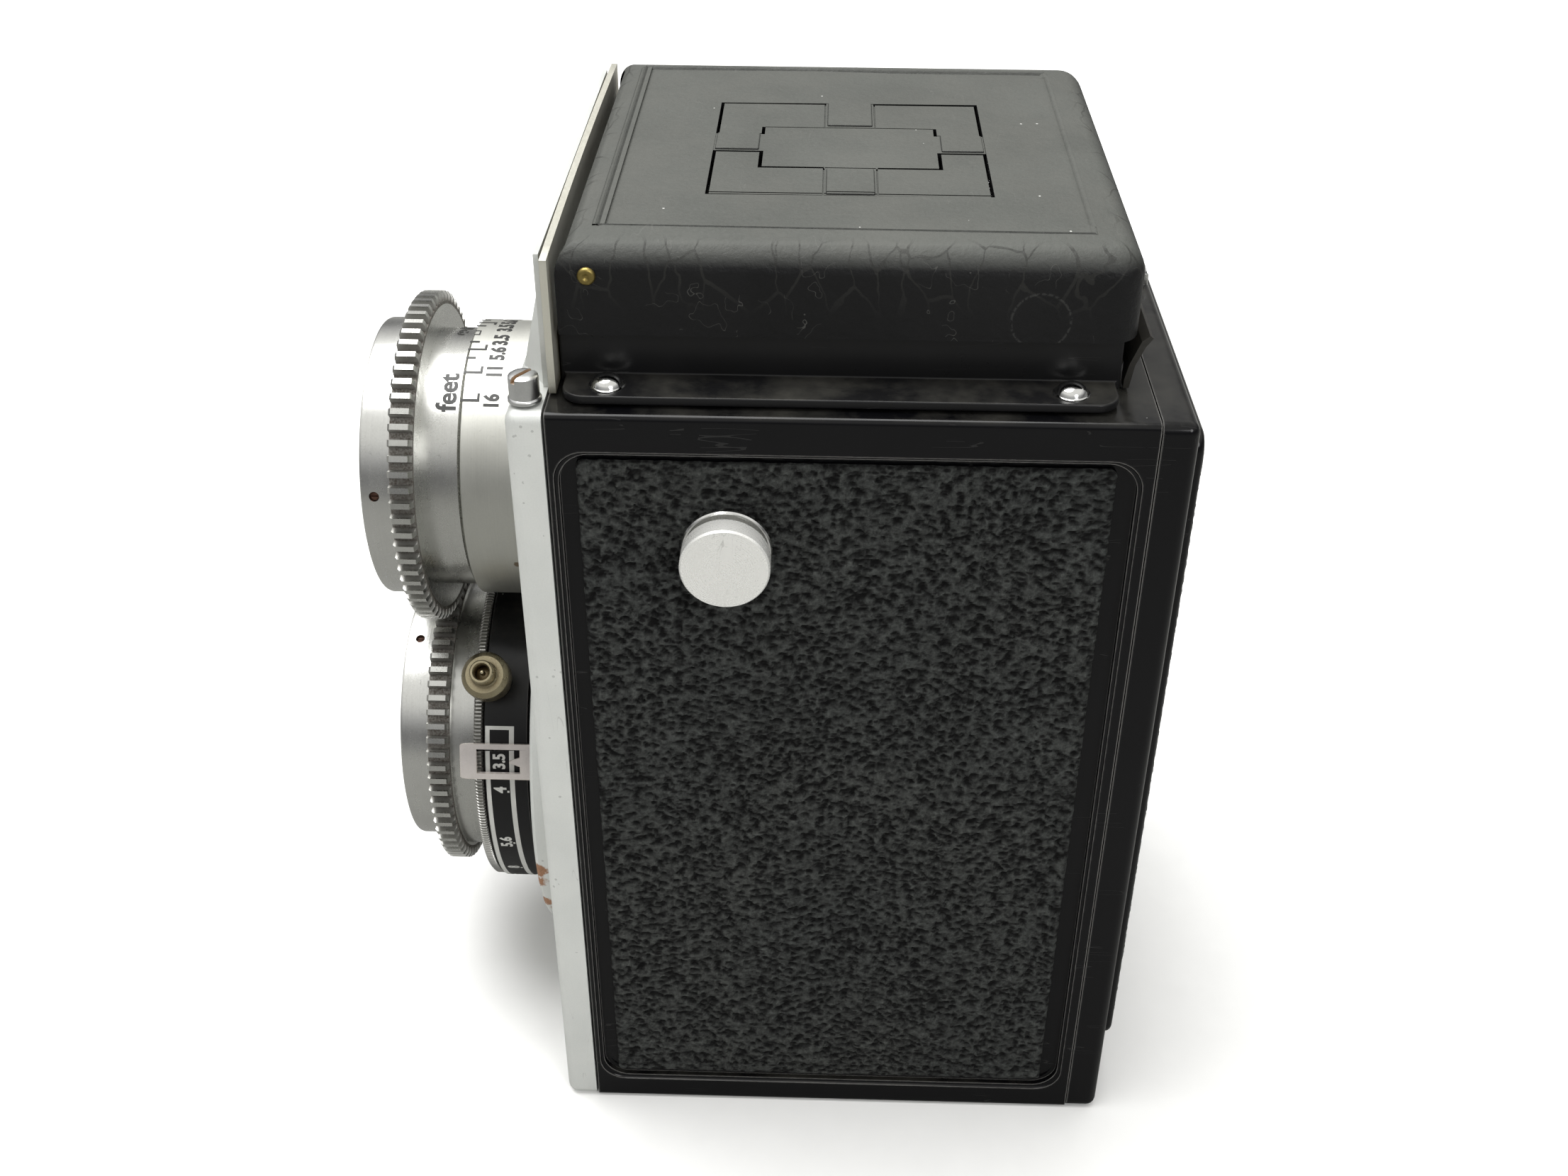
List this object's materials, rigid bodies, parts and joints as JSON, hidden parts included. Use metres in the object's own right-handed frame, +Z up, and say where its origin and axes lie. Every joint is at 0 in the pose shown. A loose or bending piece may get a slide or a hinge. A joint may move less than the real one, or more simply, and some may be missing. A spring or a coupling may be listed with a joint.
{
  "type": "twin lens reflex camera",
  "caption": "Box-shaped roll-film camera with two stacked front lenses geared together, a folding top hood and a hinged back.",
  "frame": {"origin": "centre of the body's underside, midway between the side shell's front and rear edges", "axes": "+Z up from the underside to the hood, -Y out of the lenses, +X towards the side with the small pull knob"},
  "size_m": [0.0888, 0.0999, 0.1241],
  "materials": {
    "black_enamel": "gloss black enamel",
    "black_paint": "satin black paint",
    "leather": "deep pebble grain, black",
    "lid_leather": "smooth black covering, dry and greyed",
    "cast_alloy": "silver-grey lacquered casting",
    "plate": "dull, slightly yellowed",
    "turned_aluminium": "satin turned",
    "bright_aluminium": "bright turned",
    "chrome": "polished",
    "catch_metal": "dull spring strip",
    "nickel": "yellowed nickel plate",
    "brass": "dull",
    "steel": "blued spring steel",
    "matte_black": "matte anti-reflection black",
    "spool": "black enamelled tinplate",
    "glass": "coated optical glass",
    "mirror": "front-silvered",
    "red_plastic": "red window"
  },
  "bodies": {
    "camera_body": {"body_shell": "black_enamel", "side_leather_left": "leather", "side_leather_right": "leather", "front_casting": "cast_alloy", "name_plate": "plate", "strap_post_left": "bright_aluminium", "strap_post_right": "bright_aluminium", "tripod_bush": "nickel", "hood_base": "black_paint", "hood_rivet_front_left": "chrome", "hood_rivet_front_right": "chrome", "hood_rivet_rear_left": "chrome", "hood_rivet_rear_right": "chrome", "lid_catch": "catch_metal", "lid_pivot_left": "brass", "lid_pivot_right": "brass", "focusing_screen": "glass", "mirror": "mirror", "mirror_frame": "matte_black", "viewing_barrel": "turned_aluminium", "shutter_housing": "black_paint", "sync_socket": "nickel", "iris_diaphragm": "matte_black", "shutter_retaining_ring": "nickel", "taking_lens_rear": "glass", "film_carrier": "matte_black", "knob_bush": "chrome", "wind_sleeve": "chrome", "door_hinge_pin": "steel", "shutter_blade_1": "steel", "shutter_blade_2": "steel"},
    "lid": {"hood_lid": "lid_leather"},
    "flap": {"finder_flap": "lid_leather"},
    "magnifier": {"magnifier_frame": "matte_black", "magnifier_lens": "glass"},
    "left_wing": {"wing_left": "matte_black"},
    "right_wing": {"wing_right": "matte_black"},
    "rear_screen": {"hood_rear_panel": "matte_black"},
    "viewing_unit": {"viewing_focus_ring": "turned_aluminium", "viewing_rim": "turned_aluminium", "viewing_lens": "glass"},
    "taking_unit": {"taking_focus_ring": "turned_aluminium", "taking_rim": "turned_aluminium", "taking_lens_front": "glass"},
    "speed_selector": {"speed_ring": "chrome"},
    "aperture_selector": {"aperture_pointer": "chrome"},
    "shutter_release": {"release_lever": "chrome"},
    "carrier_lock": {"carrier_knob": "bright_aluminium"},
    "winder": {"wind_knob": "bright_aluminium", "takeup_spool": "spool"},
    "roller_top": {"film_roller_top": "chrome"},
    "roller_bottom": {"film_roller_bottom": "chrome"},
    "back": {"back_door": "black_enamel", "door_leather": "leather", "red_window": "red_plastic", "pressure_spring": "steel"},
    "film_press": {"pressure_plate": "steel"},
    "latch": {"back_latch": "chrome"},
    "cover": {"window_cover": "chrome"}
  },
  "joints": [
    {"name": "lid_hinge", "type": "hinge", "parent": "camera_body", "child": "lid", "pos_m": [0, -0.02775, 0.12075], "axis": [1, 0, 0], "range_deg": [0, 90]},
    {"name": "finder_flap_hinge", "type": "hinge", "parent": "lid", "child": "flap", "pos_m": [0.0173, 0, 0.1241], "axis": [0, 1, 0], "range_deg": [0, 85]},
    {"name": "magnifier_hinge", "type": "hinge", "parent": "lid", "child": "magnifier", "pos_m": [0, 0.0019, 0.1193], "axis": [-1, 0, 0], "range_deg": [0, 90]},
    {"name": "left_wing_hinge", "type": "hinge", "parent": "camera_body", "child": "left_wing", "pos_m": [0.0282, 0, 0.1155], "axis": [0, 1, 0], "range_deg": [0, 90]},
    {"name": "right_wing_hinge", "type": "hinge", "parent": "camera_body", "child": "right_wing", "pos_m": [-0.0282, 0, 0.1155], "axis": [0, -1, 0], "range_deg": [0, 90]},
    {"name": "rear_screen_hinge", "type": "hinge", "parent": "camera_body", "child": "rear_screen", "pos_m": [0, 0.027, 0.1129], "axis": [-1, 0, 0], "range_deg": [0, 90]},
    {"name": "taking_focus", "type": "hinge", "parent": "camera_body", "child": "taking_unit", "pos_m": [0, -0.05, 0.0389], "axis": [0, -1, 0], "range_deg": [0, 260]},
    {"name": "viewing_focus", "type": "hinge", "parent": "camera_body", "child": "viewing_unit", "pos_m": [0, -0.05, 0.0809], "axis": [0, -1, 0], "range_deg": [-260, 0]},
    {"name": "speed_selector_turn", "type": "hinge", "parent": "camera_body", "child": "speed_selector", "pos_m": [0, -0.05, 0.0389], "axis": [0, 1, 0], "range_deg": [0, 75]},
    {"name": "aperture_selector_turn", "type": "hinge", "parent": "camera_body", "child": "aperture_selector", "pos_m": [0, -0.05, 0.0389], "axis": [0, 1, 0], "range_deg": [0, 95]},
    {"name": "shutter_release_press", "type": "hinge", "parent": "camera_body", "child": "shutter_release", "pos_m": [0, -0.05, 0.0389], "axis": [0, 1, 0], "range_deg": [0, 7], "stiffness_Nm_per_rad": 0.05},
    {"name": "carrier_lock_pull", "type": "slide", "parent": "camera_body", "child": "carrier_lock", "axis": [1, 0, 0], "range_m": [0, 0.0035], "stiffness_N_per_m": 150},
    {"name": "winder_turn", "type": "hinge", "parent": "camera_body", "child": "winder", "pos_m": [0, 0.0182, 0.0787], "axis": [1, 0, 0], "continuous": true},
    {"name": "roller_top_turn", "type": "hinge", "parent": "camera_body", "child": "roller_top", "pos_m": [0, 0.0288, 0.0693], "axis": [1, 0, 0], "continuous": true},
    {"name": "roller_bottom_turn", "type": "hinge", "parent": "camera_body", "child": "roller_bottom", "pos_m": [0, 0.0288, 0.0064], "axis": [1, 0, 0], "continuous": true},
    {"name": "back_hinge", "type": "hinge", "parent": "camera_body", "child": "back", "pos_m": [0, 0.0355, 0.0012], "axis": [-1, 0, 0], "range_deg": [0, 90]},
    {"name": "film_press_travel", "type": "slide", "parent": "back", "child": "film_press", "axis": [0, 1, 0], "range_m": [0, 0.0008], "stiffness_N_per_m": 400},
    {"name": "back_latch_slide", "type": "slide", "parent": "back", "child": "latch", "axis": [1, 0, 0], "range_m": [0, 0.004]},
    {"name": "window_cover_swing", "type": "hinge", "parent": "back", "child": "cover", "pos_m": [0, 0.0387, 0.038], "axis": [0, 1, 0], "range_deg": [0, 75]}
  ],
  "couplings": [
    {"joint": "magnifier_hinge", "follows": "lid_hinge", "ratio": 1},
    {"joint": "left_wing_hinge", "follows": "lid_hinge", "ratio": 1},
    {"joint": "right_wing_hinge", "follows": "lid_hinge", "ratio": 1},
    {"joint": "rear_screen_hinge", "follows": "lid_hinge", "ratio": 1},
    {"joint": "viewing_focus", "follows": "taking_focus", "ratio": -1}
  ]
}
